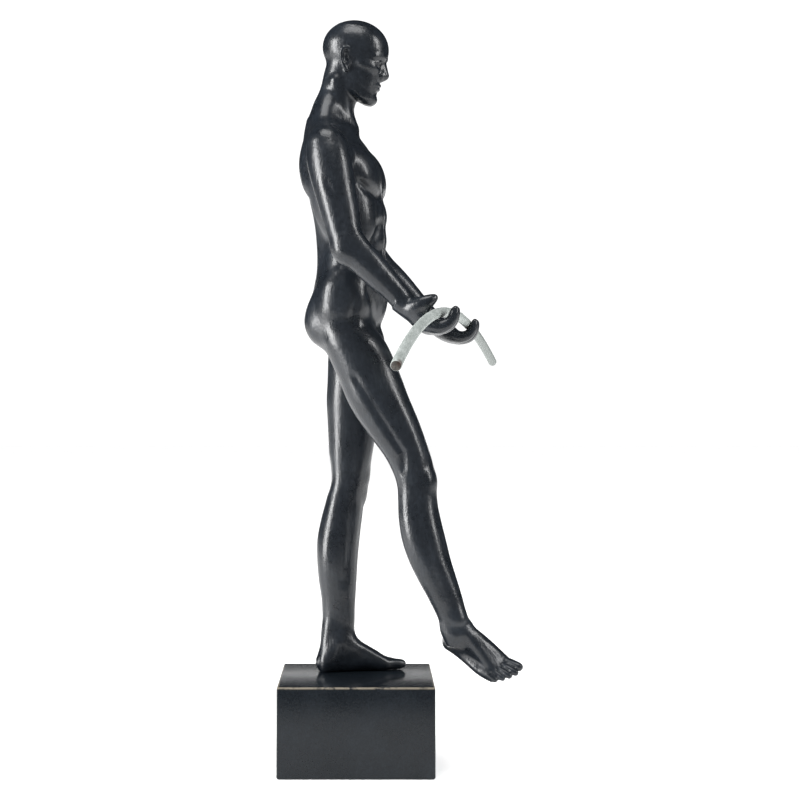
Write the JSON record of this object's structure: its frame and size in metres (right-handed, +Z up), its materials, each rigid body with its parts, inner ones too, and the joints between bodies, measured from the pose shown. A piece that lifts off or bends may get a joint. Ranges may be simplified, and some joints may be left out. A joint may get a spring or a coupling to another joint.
{
  "type": "statuette",
  "caption": "Male nude statuette in black-painted resin, stepping forward off a square block and balancing with a long bowed metal pole laid across the open hands.",
  "frame": {"origin": "middle of the square block's underside, on the surface that the statuette stands on", "axes": "+Z up; the block's sides lie along X and Y; the man looks and steps along +X, turned 8 degrees towards -Y; +Y is at his left, roughly along the pole"},
  "size_m": [0.1278, 0.3179, 0.4004],
  "materials": {
    "black_satin_paint": "satin",
    "black_block_paint": "satin",
    "silver_rod": "satin"
  },
  "bodies": {
    "root": {"figure": "black_satin_paint", "block": "black_block_paint", "balance_pole": "silver_rod"}
  },
  "joints": []
}
